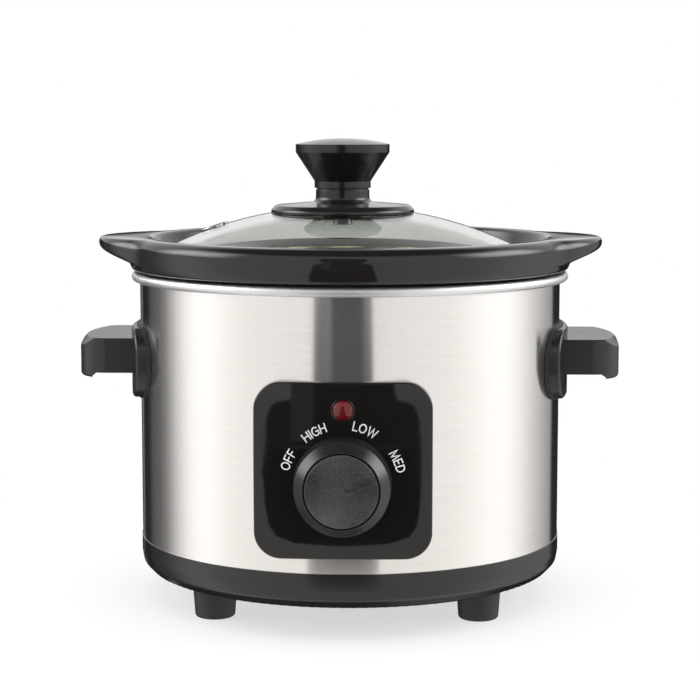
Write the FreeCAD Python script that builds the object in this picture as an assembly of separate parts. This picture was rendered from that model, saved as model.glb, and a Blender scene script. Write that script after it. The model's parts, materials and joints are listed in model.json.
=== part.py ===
# Round slow cooker: glass lid, stoneware crock, steel-clad heating base and rotary heat dial.
# Millimetres, +Z up, the dial faces -Y. Shapes are drawn about the crock's axis, then moved so that
# the origin is the middle of the whole cooker's footprint on the table.
import FreeCAD, Part
import math
import os

V = FreeCAD.Vector

# Clearances
fit_gap = 0.05            # screws, inserts and running shafts, radial
slip_gap = 0.3            # pieces that only pass one another
skin_gap = 0.1            # panel, gaskets and heater against round sheet metal
overcut = 2.0             # how far a cutting shape runs past the solid
tiny = 1e-6

# Feet and base housing
foot_height = 14.0
foot_top_r = 9.9
foot_bottom_r = 8.9
foot_edge = 1.6
foot_recess_r = 4.2
foot_recess = 8.0
foot_x = 59.0
foot_y = 51.0
foot_screw_r = 1.6
foot_screw_length = 14.0
foot_screw_head_r = 3.6
foot_screw_head = 2.6
foot_boss_r = 4.6
foot_boss_height = 7.0
base_r = 97.5
base_wall = 2.4
base_band = 7.2           # upright band under the steel
base_flare = 4.5          # leaning part below the band
base_flare_in = 0.8
base_chin = 4.1           # rounded turn under to the floor
base_chin_in = 3.9
base_chin_round = 2.5
spigot_height = 3.2
vent_count = 16
vent_inner_r = 28.0
vent_outer_r = 46.0
vent_width = 4.0
tie_pocket_r = 10.0
tie_pocket = 6.0

# Steel shell
shell_r = 97.2
shell_sheet = 0.6
shell_height = 121.5
shell_hem = 5.0           # lip turned in at the bottom, rests on the base
window_half = 22.0
window_drop = 24.0        # window below the panel's middle
window_rise = 33.0
window_round = 4.0

# Heating bowl
bowl_r = 82.5
bowl_sheet = 0.8
bowl_depth = 106.3
bowl_corner = 10.0
bowl_bend = 3.0
bead_r = 2.1
bead_reach = 1.7          # bead's middle outside the shell
bead_start = 90.0         # degrees round the bead where the flat rim runs into it
bead_end = -135.0         # degrees round the bead where its edge tucks in

# Crock
crock_gap = 2.2
crock_wall = 6.5
crock_floor = 8.0
crock_draft = 3.0
crock_stand = 4.0         # crock's foot above the bowl's floor
crock_corner = 11.0
foot_ring = 16.0
foot_ring_lift = 1.5
rim_r = 102.0
rim_height = 15.9         # seat to rim top
rim_lip_r = 101.8
rim_lip_round = 4.6       # turn from the seat up to the rim's face
ledge_drop = 9.8          # rim top to the lid's ledge
ledge_inner_r = 77.0
ledge_outer_r = 87.6
rim_inner_r = 91.5
rim_round = 2.5
glaze_round = 1.2
ledge_round = 2.0
lug_reach = 116.5
lug_nose_r = 46.5
lug_neck_r = 30.0
lug_tip = 6.2             # upright edge at the lug's nose
lug_under = 12.2          # rim top to the lug's underside at the rim
lug_root_r = 103.6
lug_round = 2.4
lug_inner_r = 96.0

# Lid
lid_r = 82.5
lid_glass = 4.0
lid_sphere_r = 187.0
lid_rise = 23.4           # ledge to the dome's top, before its flat
lid_flat_r = 16.0
lid_edge = 2.8
lid_edge_round = 1.2
lid_hole_r = 3.2
lid_aside = -3.4          # lid lies a little to the left on its ledge
gasket_r = 13.0
gasket_thick = 1.2
skirt_r = 33.5
skirt_lip = 0.15          # skirt's edge above the glass
skirt_edge = 3.4
skirt_belly = 0.9         # widest line above the skirt's lower edge
skirt_bevel = 2.4
skirt_round = 2.0
neck_fillet = 2.5
moulded_edge = 0.4
skirt_top = 1.7           # top of the skirt above the gasket at the neck
skirt_height = 7.4
neck_r = 12.4
knob_groove = 0.5
knob_groove_r = 11.8
knob_collar_r = 13.0
knob_collar = 3.2
knob_r = 21.7
knob_cone = 13.3
knob_band = 3.7
knob_crown = 2.6
insert_r = 4.0
insert_length = 10.0
knob_screw_r = 2.4
knob_screw_head_r = 4.6
knob_screw_head = 2.8
washer_r = 9.0
washer_thick = 1.5
knob_screw_bite = 9.0     # thread inside the insert
vent_x = -59.5
vent_bore_r = 4.2
vent_tube = 0.8
vent_flange_r = 6.5
vent_flange = 0.8

# Side handles
handle_plate_half = 41.0
handle_plate_low = 96.0
handle_plate_high = 127.7
handle_plate_round = 13.0
handle_plate = 2.0        # plate at its middle, thicker toward its ends
handle_plate_edge = 1.5   # rounding round the plate's outer face
handle_face_r = 141.0     # plate's outer face, flatter than the shell
gasket_layer = 1.6
gasket_margin = 0.5
grip_half = 29.5
grip_reach = 123.4
grip_top = 122.8
grip_under = 107.0
grip_lip = 2.4
grip_lip_thick = 6.4
grip_round = 13.0
grip_bow = 6.7            # bow of the bevelled end's top edge
grip_bevel = 1.2          # bevel at the middle of the end
grip_bevel_slope = 0.9    # bevel's run for each unit down
grip_wall = 3.0
grip_roof = 4.5
grip_hollow_round = 8.0
hollow_outer_share = 0.6  # most of the hollow's depth that its outer corners may take
hollow_inner_share = 0.3  # most of it that the corners by the plate may take
grip_lip_edge = 0.6
grip_lip_round = 2.0      # rounding along the lip's lower edge
grip_lip_back = 0.8       # rounding where the lip turns up into the underside
grip_edge = 0.6           # rounding along the top and the bevel
grip_web = 5.0            # solid behind the plate, where the screws bite
handle_screw_y = 18.0
handle_screw_z = 114.0
handle_screw_r = 2.0
handle_screw_length = 10.0
handle_screw_head_r = 3.6
handle_screw_head = 2.0

# Control panel, lamp, switch and dial
panel_half = 37.8
panel_round = 11.5
panel_z = 74.4
panel_front = 101.2       # front of the panel's crown, from the axis
panel_crown_r = 316.0
panel_wall = 2.4
boss_offset = 28.0
boss_r = 3.5
panel_screw_r = 1.2
panel_screw_length = 4.6
panel_screw_head_r = 2.5
panel_screw_head = 1.5
lamp_z = 100.5
lens_r = 4.3
lens_dome = 1.5
lens_flange_r = 5.5
lens_flange = 1.0
lens_tail = 5.0
lens_tail_wall = 1.5
neon_r = 2.2
neon_length = 8.0
dial_z = 69.3
switch_half = 13.0
switch_clear = 2.5        # switch's back clear of the heater
switch_back_wall = 3.0
switch_round = 1.5
bushing_r = 4.6
bushing_length = 3.2      # thread standing in front of the panel
nut_flats = 12.0
nut_thick = 2.5
shaft_r = 3.0
shaft_flat = 1.0
shaft_length = 12.0       # in front of the panel
tab_width = 6.3
tab_thick = 0.8
tab_length = 8.0
tab_pitch = 9.0
dial_base_r = 20.8
dial_r = 20.2
dial_side = 11.5
dial_height = 17.0
dial_bevel_r = 16.4
dial_wall = 2.6
dial_web = 2.4
dial_hub_r = 6.4
dial_edge = 1.0
dial_lift = 0.8           # dial's skirt clear of the panel
cap_r = 15.4
cap_groove = 0.5
cap_depth = 2.5           # cap's seat below the ring
cap_edge = 0.5
cap_stand = 0.6           # cap in front of the ring
pointer_width = 2.2
pointer_depth = 0.5
pointer_start = 1.5
dial_rest_turn = 67.5     # degrees clockwise from upright: the medium setting

# Heater, fuse, wiring and tie
band_thick = 1.8
band_lift = 7.0           # heater above the bowl's floor
band_height = 32.0
band_split = 6.0
band_ear = 7.0
band_ear_thick = 1.6
band_bolt_r = 1.5
band_bolt_head_r = 2.8
band_bolt_head = 2.0
band_bolt_tail = 2.0
fuse_r = 2.0
fuse_length = 14.0
fuse_lift = 8.0           # fuse above the heater
fuse_angle = 116.0
clip_width = 8.0
clip_height = 8.0
clip_radial = 5.4
block_length = 24.0
block_width = 12.0
block_height = 12.0
block_y = 60.0
block_screw_r = 1.4
block_screw_head_r = 2.4
block_screw_head = 1.6
block_screw_length = 8.4
lead_r = 1.1
lead_bend = 6.0
tie_r = 3.0
tie_washer_r = 8.0
tie_washer = 1.4
tie_nut_flats = 10.0
tie_nut = 4.0
gland_z = 22.0
gland_r = 6.0
gland_bore_r = 3.6
gland_flange_r = 7.2
gland_flange = 2.2
gland_edge = 0.8
gland_inner = 6.0         # gland inside the base wall

# Heights that follow from the sizes
base_floor_z = foot_height + base_wall
base_top_z = foot_height + base_chin + base_flare + base_band
shell_top_z = base_top_z + shell_height
seat_z = shell_top_z + bowl_sheet
bowl_floor_z = shell_top_z - bowl_depth
band_low = bowl_floor_z + band_lift
band_high = band_low + band_height
fuse_z = band_high + fuse_lift
crock_foot_z = bowl_floor_z + bowl_sheet + crock_stand
crock_inside_z = crock_foot_z + crock_floor
rim_top_z = seat_z + rim_height
ledge_z = rim_top_z - ledge_drop
dome_middle_z = ledge_z + lid_rise - lid_sphere_r
glass_top_z = dome_middle_z + math.sqrt(lid_sphere_r ** 2 - lid_flat_r ** 2)
skirt_seat_z = glass_top_z + gasket_thick
neck_top_z = skirt_seat_z + skirt_height
knob_low_z = neck_top_z + knob_groove
knob_cone_z = knob_low_z + knob_collar
knob_band_z = knob_cone_z + knob_cone
knob_rim_z = knob_band_z + knob_band
knob_top_z = knob_rim_z + knob_crown
crock_r = bowl_r - bowl_sheet - crock_gap
crock_in_r = crock_r - crock_wall
cap_front = dial_height + cap_stand
front_reach = panel_front + cap_front
rear_reach = rim_r
axis_y = (front_reach - rear_reach) / 2.0


def meridian(u, v):
    return V(u, 0, v)


def seen_from_front(u, v):
    return V(u, 0, v)


def seen_from_side(u, v):
    return V(0, u, v)


def seen_from_above(u, v):
    return V(u, v, 0)


def outline(points, place):
    """Closed face through (u, v) or (u, v, corner radius) points."""
    flat = [V(p[0], p[1], 0) for p in points]
    edges = []
    ends = []
    for i, point in enumerate(points):
        corner = flat[i]
        back = (flat[i - 1] - corner).normalize()
        ahead = (flat[(i + 1) % len(flat)] - corner).normalize()
        radius = point[2] if len(point) > 2 else 0.0
        if radius == 0.0:
            ends.append((corner, None, corner))
            continue
        half = back.getAngle(ahead) / 2.0
        run = radius / math.tan(half)
        middle = corner + (back + ahead).normalize() * (radius / math.sin(half) - radius)
        ends.append((corner + back * run, middle, corner + ahead * run))
    for i, (start, middle, finish) in enumerate(ends):
        if middle is not None:
            edges.append(Part.Arc(place(start.x, start.y), place(middle.x, middle.y),
                                  place(finish.x, finish.y)).toShape())
        following = ends[(i + 1) % len(ends)][0]
        if finish.distanceToPoint(following) > tiny:
            edges.append(Part.LineSegment(place(finish.x, finish.y),
                                          place(following.x, following.y)).toShape())
    return Part.Face(Part.Wire(edges))


def turned(points):
    """Solid of revolution about the vertical axis from (r, z) points."""
    return outline(points, meridian).revolve(V(0, 0, 0), V(0, 0, 1), 360)


def turned_forward(points, z):
    """Solid of revolution about a front-to-back axis from (r, distance in front of the axis) points."""
    solid = turned(points)
    solid.rotate(V(0, 0, 0), V(1, 0, 0), 90)
    solid.translate(V(0, 0, z))
    return solid


def rod(radius, start, finish):
    along = finish - start
    return Part.makeCylinder(radius, along.Length, start, along)


def screw(shaft_radius, length, head_radius, head, seat, along):
    """Pan-head screw: the head's flat face is at seat and the shaft runs along."""
    run = V(along).normalize()
    shaft = rod(shaft_radius, seat, seat + run * length)
    cap = rod(head_radius, seat - run * head, seat)
    return shaft.fuse(cap).removeSplitter()


def hex_nut(flats, thick, bore, middle, along):
    corner = flats / math.sqrt(3.0)
    angles = [math.radians(60 * i + 30) for i in range(6)]
    face = outline([(corner * math.cos(a), corner * math.sin(a)) for a in angles], seen_from_above)
    nut = face.extrude(V(0, 0, thick)).cut(Part.makeCylinder(bore, thick))
    nut.Placement = FreeCAD.Placement(middle, FreeCAD.Rotation(V(0, 0, 1), along))
    return nut


def rounded_block(half_u, low_v, high_v, radius, place, along):
    points = [(-half_u, low_v, radius), (half_u, low_v, radius), (half_u, high_v, radius),
              (-half_u, high_v, radius)]
    return outline(points, place).extrude(along)


def tube_path(points, bend):
    """Straight runs joined by tangent arcs."""
    edges = []
    start = points[0]
    for before, corner, after in zip(points, points[1:], points[2:]):
        back = (before - corner).normalize()
        ahead = (after - corner).normalize()
        half = back.getAngle(ahead) / 2.0
        run = bend / math.tan(half)
        middle = corner + (back + ahead).normalize() * (bend / math.sin(half) - bend)
        edges.append(Part.LineSegment(start, corner + back * run).toShape())
        edges.append(Part.Arc(corner + back * run, middle, corner + ahead * run).toShape())
        start = corner + ahead * run
    edges.append(Part.LineSegment(start, points[-1]).toShape())
    return Part.Wire(edges)


def lead(points):
    path = tube_path(points, lead_bend)
    section = Part.Wire(Part.makeCircle(lead_r, points[0], points[1] - points[0]))
    return path.makePipeShell([section], True, False)


def gland_inside():
    return base_r - base_wall - gland_inner


def foot_places():
    return [(side, end) for side in (-1, 1) for end in (-1, 1)]


def handle_screw_seats(side):
    """Where each handle screw's head meets the inside of the shell."""
    reach = math.sqrt((shell_r - shell_sheet) ** 2 - (handle_screw_y + handle_screw_head_r) ** 2)
    return [V(side * (reach - skin_gap), end * handle_screw_y, handle_screw_z) for end in (-1, 1)]


def panel_screw_seats():
    reach = math.sqrt((shell_r - shell_sheet) ** 2 - (boss_offset + panel_screw_head_r) ** 2)
    return [V(u * boss_offset, skin_gap - reach, panel_z + v * boss_offset)
            for u in (-1, 1) for v in (-1, 1)]


# Base housing: tray with an upright band, leaning skirt, vents, tie pocket and foot bosses
def make_base():
    flare_z = base_top_z - base_band
    chin_z = flare_z - base_flare
    flare_r = base_r - base_flare_in
    floor_r = flare_r - base_chin_in
    spigot_r = shell_r - shell_hem - slip_gap
    hole = tie_r + slip_gap
    roof_z = foot_height + tie_pocket
    tray = turned([
        (hole, roof_z), (tie_pocket_r, roof_z), (tie_pocket_r, foot_height),
        (floor_r, foot_height, base_chin_round), (flare_r, chin_z, base_chin_round), (base_r, flare_z),
        (base_r, base_top_z), (spigot_r, base_top_z), (spigot_r, base_top_z + spigot_height),
        (spigot_r - base_wall, base_top_z + spigot_height), (spigot_r - base_wall, base_top_z - base_wall),
        (base_r - base_wall, base_top_z - base_wall), (flare_r - base_wall, chin_z + base_wall / 2),
        (floor_r - base_wall, base_floor_z), (tie_pocket_r + base_wall, base_floor_z),
        (tie_pocket_r + base_wall, roof_z + base_wall), (hole, roof_z + base_wall)])
    slot = rounded_block(vent_width / 2, vent_inner_r, vent_outer_r, vent_width / 2 - fit_gap,
                         seen_from_above, V(0, 0, base_floor_z + base_wall))
    for i in range(vent_count):
        cut = slot.copy()
        cut.rotate(V(0, 0, 0), V(0, 0, 1), 360.0 * (i + 0.5) / vent_count)
        tray = tray.cut(cut)
    for side, end in foot_places():
        spot = V(side * foot_x, end * foot_y, base_floor_z)
        tray = tray.fuse(Part.makeCylinder(foot_boss_r, foot_boss_height, spot))
    for side, end in foot_places():
        spot = V(side * foot_x, end * foot_y, 0)
        tray = tray.cut(Part.makeCylinder(foot_screw_r + fit_gap, base_top_z, spot))
    gland_hole = rod(gland_r + fit_gap, V(0, gland_inside() - slip_gap, gland_z), V(0, 2 * base_r, gland_z))
    return tray.cut(gland_hole)


def make_foot(side, end):
    foot = turned([
        (foot_screw_r + slip_gap, foot_recess), (foot_recess_r, foot_recess), (foot_recess_r, 0),
        (foot_bottom_r, 0, foot_edge), (foot_top_r, foot_height), (foot_screw_r + slip_gap, foot_height)])
    foot.translate(V(side * foot_x, end * foot_y, 0))
    return foot


def make_foot_screws():
    seats = [V(side * foot_x, end * foot_y, foot_recess) for side, end in foot_places()]
    return [screw(foot_screw_r, foot_screw_length, foot_screw_head_r, foot_screw_head, seat, V(0, 0, 1))
            for seat in seats]


# Shell: rolled sheet with a hem on the base, a window behind the panel and screw holes
def make_shell():
    inner = shell_r - shell_sheet
    shell = turned([
        (shell_r - shell_hem, base_top_z), (shell_r, base_top_z),
        (shell_r, shell_top_z), (inner, shell_top_z),
        (inner, base_top_z + shell_sheet), (shell_r - shell_hem, base_top_z + shell_sheet)])
    shell = shell.cut(rounded_block(window_half, panel_z - window_drop, panel_z + window_rise, window_round,
                                    seen_from_front, V(0, -2 * shell_r, 0)))
    for seat in panel_screw_seats():
        shell = shell.cut(rod(panel_screw_r + slip_gap, seat + V(0, shell_sheet, 0), seat - V(0, shell_r, 0)))
    for side in (-1, 1):
        for seat in handle_screw_seats(side):
            shell = shell.cut(rod(handle_screw_r + slip_gap, seat, seat + V(side * shell_r, 0, 0)))
    return shell


# Heating bowl: spun cup, flat rim for the crock, and a bead rolled down over the shell's edge
def make_bowl():
    inner = bowl_r - bowl_sheet
    bead_middle = shell_r + bead_reach
    bead_z = seat_z - bead_r
    bead_in = bead_r - bowl_sheet
    cup = turned([
        (0, bowl_floor_z), (bowl_r, bowl_floor_z, bowl_corner), (bowl_r, shell_top_z, bowl_bend - bowl_sheet),
        (bead_middle, shell_top_z), (bead_middle, seat_z), (inner, seat_z, bowl_bend),
        (inner, bowl_floor_z + bowl_sheet, bowl_corner - bowl_sheet), (0, bowl_floor_z + bowl_sheet)])

    def around(radius, degrees):
        angle = math.radians(degrees)
        return meridian(bead_middle + radius * math.cos(angle), bead_z + radius * math.sin(angle))

    half_way = (bead_start + bead_end) / 2.0
    roll = Part.Wire([
        Part.Arc(around(bead_r, bead_start), around(bead_r, half_way), around(bead_r, bead_end)).toShape(),
        Part.LineSegment(around(bead_r, bead_end), around(bead_in, bead_end)).toShape(),
        Part.Arc(around(bead_in, bead_end), around(bead_in, half_way), around(bead_in, bead_start)).toShape(),
        Part.LineSegment(around(bead_in, bead_start), around(bead_r, bead_start)).toShape()])
    bead = Part.Face(roll).revolve(V(0, 0, 0), V(0, 0, 1), 360)
    return cup.fuse(bead).removeSplitter()


# Crock: turned pot with a thick rim, a ledge inside it for the lid, and two lugs
def make_lug():
    nose_x = lug_reach - lug_nose_r
    away = rim_r + lug_neck_r
    near = lug_nose_r + lug_neck_r
    neck_x = (away ** 2 + nose_x ** 2 - near ** 2) / (2 * nose_x)
    neck_y = math.sqrt(away ** 2 - neck_x ** 2)
    on_rim = V(neck_x, neck_y, 0) * (rim_r / away)
    on_nose = V(nose_x, 0, 0) + (V(neck_x, neck_y, 0) - V(nose_x, 0, 0)) * (lug_nose_r / near)
    pull = ((on_rim + on_nose) * 0.5 - V(neck_x, neck_y, 0)).normalize()
    hollow = V(neck_x, neck_y, 0) + pull * lug_neck_r
    inside = on_rim * (lug_inner_r / rim_r)

    def mirrored(point):
        return V(point.x, -point.y, 0)

    plan = Part.Wire([
        Part.Arc(on_rim, hollow, on_nose).toShape(),
        Part.Arc(on_nose, V(lug_reach, 0, 0), mirrored(on_nose)).toShape(),
        Part.Arc(mirrored(on_nose), mirrored(hollow), mirrored(on_rim)).toShape(),
        Part.LineSegment(mirrored(on_rim), mirrored(inside)).toShape(),
        Part.Arc(mirrored(inside), V(lug_inner_r, 0, 0), inside).toShape(),
        Part.LineSegment(inside, on_rim).toShape()])
    under_z = rim_top_z - lug_under
    lug = Part.Face(plan).extrude(V(0, 0, lug_under))
    lug.translate(V(0, 0, under_z))
    tip_z = rim_top_z - lug_tip
    past = lug_reach + lug_tip
    rise = (tip_z - under_z) / (lug_reach - lug_root_r)
    wedge = outline([(lug_root_r, under_z - overcut), (past, under_z - overcut),
                     (past, tip_z + rise * (past - lug_reach)), (lug_root_r, under_z)], seen_from_front)
    wedge = wedge.extrude(V(0, 4 * lug_nose_r, 0))
    wedge.translate(V(0, -2 * lug_nose_r, 0))
    lug = lug.cut(wedge)
    rounded = []
    for edge in lug.Edges:
        middle = edge.valueAt((edge.FirstParameter + edge.LastParameter) / 2.0)
        flat_top = abs(edge.BoundBox.ZMin - rim_top_z) < fit_gap
        if flat_top and math.hypot(middle.x, middle.y) > rim_r + fit_gap:
            rounded.append(edge)
    return lug.makeFillet(lug_round, rounded)


# Wall, rim and flat floor of one stoneware pot, drawn as three solids so that each stays simple
def make_crock():
    low_r = crock_r - crock_draft
    in_low_r = crock_in_r - crock_draft
    ring_r = low_r - foot_ring
    pot = turned([
        (0, crock_foot_z + foot_ring_lift), (ring_r, crock_foot_z + foot_ring_lift),
        (ring_r + foot_ring_lift, crock_foot_z), (low_r, crock_foot_z, crock_corner),
        (crock_r, seat_z - bowl_bend), (crock_r, seat_z, glaze_round), (rim_lip_r, seat_z, rim_lip_round),
        (rim_r, rim_top_z, rim_round), (rim_inner_r, rim_top_z, rim_round),
        (ledge_outer_r, ledge_z, ledge_round), (ledge_inner_r, ledge_z, ledge_round),
        (crock_in_r, seat_z - bowl_bend),
        (in_low_r, crock_inside_z, crock_corner), (0, crock_inside_z)])
    lug = make_lug()
    pot = pot.fuse(lug)
    pot = pot.fuse(lug.mirror(V(0, 0, 0), V(1, 0, 0)))
    pot = pot.removeSplitter()
    flat_r = in_low_r - crock_corner
    wall_top = seat_z - bowl_bend
    above = Part.makeCylinder(2 * lug_reach, rim_top_z, V(0, 0, wall_top))
    core = Part.makeCylinder(flat_r + fit_gap, rim_top_z)
    return {
        "crock": pot.cut(above).cut(core),
        "crock_rim": pot.common(above),
        "crock_floor": pot.common(Part.makeCylinder(flat_r, rim_top_z)),
    }


# Lid: domed glass with a flat at the top, on a gasket under a two-piece knob
def dome_z(radius, sphere):
    return dome_middle_z + math.sqrt(sphere ** 2 - radius ** 2)


def vent_axis():
    tilt = math.asin(vent_x / lid_sphere_r)
    return V(math.sin(tilt), 0, math.cos(tilt))


def make_glass():
    inner = lid_sphere_r - lid_glass
    edge_in = lid_r - lid_edge
    under_flat_z = glass_top_z - lid_glass
    under_flat_r = math.sqrt(inner ** 2 - (under_flat_z - dome_middle_z) ** 2)

    def between(first, second, sphere):
        radius = (first + second) / 2.0
        return meridian(radius, dome_z(radius, sphere))

    corners = [meridian(lid_hole_r, glass_top_z), meridian(lid_flat_r, glass_top_z),
               meridian(lid_r, dome_z(lid_r, lid_sphere_r)), meridian(lid_r, ledge_z),
               meridian(edge_in, ledge_z),
               meridian(edge_in, dome_z(edge_in, inner)), meridian(under_flat_r, under_flat_z),
               meridian(lid_hole_r, under_flat_z)]
    section = Part.Wire([
        Part.LineSegment(corners[0], corners[1]).toShape(),
        Part.Arc(corners[1], between(lid_flat_r, lid_r, lid_sphere_r), corners[2]).toShape(),
        Part.LineSegment(corners[2], corners[3]).toShape(),
        Part.LineSegment(corners[3], corners[4]).toShape(),
        Part.LineSegment(corners[4], corners[5]).toShape(),
        Part.Arc(corners[5], between(edge_in, under_flat_r, inner), corners[6]).toShape(),
        Part.LineSegment(corners[6], corners[7]).toShape(),
        Part.LineSegment(corners[7], corners[0]).toShape()])
    glass = Part.Face(section).revolve(V(0, 0, 0), V(0, 0, 1), 360)
    rims = [edge for edge in glass.Edges if abs(edge.BoundBox.XMax - lid_r) < fit_gap and edge.Closed]
    glass = glass.makeFillet(lid_edge_round, rims)
    axis = vent_axis()
    middle = V(0, 0, dome_middle_z)
    vent_hole = rod(vent_bore_r + vent_tube + skin_gap, middle + axis * (inner - lid_glass),
                    middle + axis * (lid_sphere_r + lid_glass))
    return glass.cut(vent_hole)


def make_eyelet():
    tube_r = vent_bore_r + vent_tube
    low = -lid_glass - slip_gap / 2
    eyelet = turned([
        (vent_bore_r, low - vent_flange), (vent_flange_r, low - vent_flange), (vent_flange_r, low),
        (tube_r, low), (tube_r, 0), (vent_flange_r, 0), (vent_flange_r, vent_flange, vent_flange / 2),
        (vent_bore_r, vent_flange)])
    axis = vent_axis()
    foot = V(0, 0, dome_middle_z) + axis * lid_sphere_r
    eyelet.Placement = FreeCAD.Placement(foot, FreeCAD.Rotation(V(0, 0, 1), axis))
    return eyelet


def make_skirt():
    edge_r = skirt_r - moulded_edge
    edge_z = dome_z(edge_r, lid_sphere_r) + skirt_lip
    bore = knob_screw_r + slip_gap
    shoulder_z = skirt_seat_z + skirt_top
    return turned([
        (bore, skirt_seat_z), (gasket_r + slip_gap, skirt_seat_z), (edge_r, edge_z, moulded_edge / 2),
        (skirt_r, edge_z + skirt_belly, skirt_round),
        (skirt_r - skirt_bevel, edge_z + skirt_edge, skirt_round),
        (neck_r, shoulder_z, neck_fillet),
        (neck_r, neck_top_z, moulded_edge), (bore, neck_top_z)])


def crowned(solid, edge_r, crown, top, middle, along):
    """The solid trimmed by a ball whose cap rises by crown from edge_r to top along the given way."""
    ball_r = (edge_r ** 2 + crown ** 2) / (2 * crown)
    return solid.common(Part.makeSphere(ball_r, middle + along * (top - ball_r), along))


def make_knob():
    bore = insert_r + fit_gap
    bore_top = neck_top_z + insert_length + slip_gap
    knob = turned([
        (bore, neck_top_z), (knob_groove_r, neck_top_z), (knob_groove_r, knob_low_z),
        (knob_collar_r, knob_low_z, moulded_edge), (knob_collar_r, knob_cone_z, moulded_edge),
        (knob_r, knob_band_z, moulded_edge), (knob_r, knob_top_z), (0, knob_top_z), (0, bore_top),
        (bore, bore_top)])
    return crowned(knob, knob_r, knob_crown, knob_top_z, V(0, 0, 0), V(0, 0, 1))


def make_lid_pieces():
    under_z = glass_top_z - lid_glass
    bore = knob_screw_r + fit_gap
    screw_seat = V(0, 0, under_z - washer_thick)
    screw_top = neck_top_z + knob_screw_bite
    return {
        "glass_lid": make_glass(),
        "vent_eyelet": make_eyelet(),
        "lid_gasket": turned([(bore, glass_top_z), (gasket_r, glass_top_z), (gasket_r, skirt_seat_z),
                              (bore, skirt_seat_z)]),
        "knob_skirt": make_skirt(),
        "lid_knob": make_knob(),
        "knob_insert": turned([(bore, neck_top_z), (insert_r, neck_top_z),
                               (insert_r, neck_top_z + insert_length), (bore, neck_top_z + insert_length)]),
        "lid_washer": turned([(bore, under_z - washer_thick),
                              (washer_r, under_z - washer_thick, moulded_edge),
                              (washer_r, under_z), (bore, under_z)]),
        "knob_screw": screw(knob_screw_r, screw_top - screw_seat.z, knob_screw_head_r, knob_screw_head,
                            screw_seat, V(0, 0, 1)),
    }


# Side handle: curved plate on a gasket, with a hooked grip that is hollow underneath
def seam_behind(solid, middle):
    """The turned solid with its seam on the side away from the handle."""
    return solid.rotated(middle, V(0, 0, 1), 180)


def plate_layer(inner_r, face_middle, face_r, margin):
    block = rounded_block(handle_plate_half + margin, handle_plate_low - margin, handle_plate_high + margin,
                          handle_plate_round + margin, seen_from_side, V(2 * shell_r, 0, 0))
    height = handle_plate_high - handle_plate_low + 4 * margin
    low = handle_plate_low - 2 * margin
    face_axis = V(face_middle - face_r, 0, low)
    shell_axis = V(0, 0, low)
    face = seam_behind(Part.makeCylinder(face_r, height, face_axis), face_axis)
    return block.common(face).cut(seam_behind(Part.makeCylinder(inner_r, height, shell_axis), shell_axis))


def edges_between(solid, low, high):
    """Edges clear of the shell whose whole length lies between two heights."""
    return [edge for edge in solid.Edges if edge.BoundBox.ZMin > low and edge.BoundBox.ZMax < high
            and edge.CenterOfMass.x > shell_r + skin_gap]


def make_handle(side):
    plate_in = shell_r + skin_gap + gasket_layer
    plate_out = plate_in + handle_plate
    lip_z = grip_under - grip_lip
    grip = outline([(shell_r, -grip_half), (grip_reach, -grip_half, grip_round),
                    (grip_reach, grip_half, grip_round), (shell_r, grip_half)], seen_from_above)
    grip = grip.extrude(V(0, 0, grip_top - lip_z))
    grip.translate(V(0, 0, lip_z))
    bow_r = (grip_half ** 2 + grip_bow ** 2) / (2 * grip_bow)
    bevel_depth = grip_top - lip_z
    bow_middle = V(grip_reach - grip_bevel - bow_r, 0, lip_z)
    bevel = Part.makeCone(bow_r + grip_bevel_slope * bevel_depth, bow_r, bevel_depth, bow_middle)
    grip = grip.common(seam_behind(bevel, bow_middle))
    grip = grip.makeFillet(grip_lip_round, edges_between(grip, lip_z - tiny, lip_z + tiny))
    grip = grip.makeFillet(grip_edge, edges_between(grip, grip_top - grip_roof, grip_top + tiny))
    lip_x = grip_reach - grip_lip_thick
    wedge = outline([(0, 0), (lip_x, 0), (lip_x, lip_z + grip_lip_edge, grip_lip_back),
                     (lip_x - grip_lip, grip_under), (0, grip_under)], seen_from_front)
    wedge = wedge.extrude(V(0, 4 * grip_half, 0))
    wedge.translate(V(0, -2 * grip_half, 0))
    grip = grip.cut(wedge)
    hollow_in = plate_out + grip_web
    hollow_out = grip_reach - grip_wall
    hollow_half = grip_half - grip_wall
    outer_round = min(grip_hollow_round, hollow_outer_share * (hollow_out - hollow_in))
    inner_round = min(grip_wall, hollow_inner_share * (hollow_out - hollow_in))
    hollow = outline([(hollow_in, -hollow_half, inner_round), (hollow_out, -hollow_half, outer_round),
                      (hollow_out, hollow_half, outer_round), (hollow_in, hollow_half, inner_round)],
                     seen_from_above).extrude(V(0, 0, grip_top - grip_roof))
    grip = grip.cut(hollow)
    grip = grip.cut(Part.makeCylinder(plate_in, 2 * grip_top))
    plate = plate_layer(plate_in, plate_out, handle_face_r, 0.0)
    face = max(plate.Faces, key=lambda side_face: side_face.CenterOfMass.x)
    handle = grip.fuse(plate.makeFillet(handle_plate_edge, face.Edges))
    for seat in handle_screw_seats(1):
        depth = V(handle_screw_length + fit_gap, 0, 0)
        handle = handle.cut(rod(handle_screw_r + fit_gap, seat, seat + depth))
    handle = handle.removeSplitter()
    return handle if side > 0 else handle.mirror(V(0, 0, 0), V(1, 0, 0))


def make_handle_gasket(side):
    layer_out = shell_r + skin_gap + gasket_layer
    gasket = plate_layer(shell_r + skin_gap, layer_out, layer_out, gasket_margin)
    for seat in handle_screw_seats(1):
        gasket = gasket.cut(rod(handle_screw_r + slip_gap, seat, seat + V(shell_r, 0, 0)))
    return gasket if side > 0 else gasket.mirror(V(0, 0, 0), V(1, 0, 0))


def make_handle_screws():
    screws = []
    for side in (-1, 1):
        for seat in handle_screw_seats(side):
            screws.append(screw(handle_screw_r, handle_screw_length, handle_screw_head_r, handle_screw_head,
                                seat, V(side, 0, 0)))
    return screws


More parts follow.
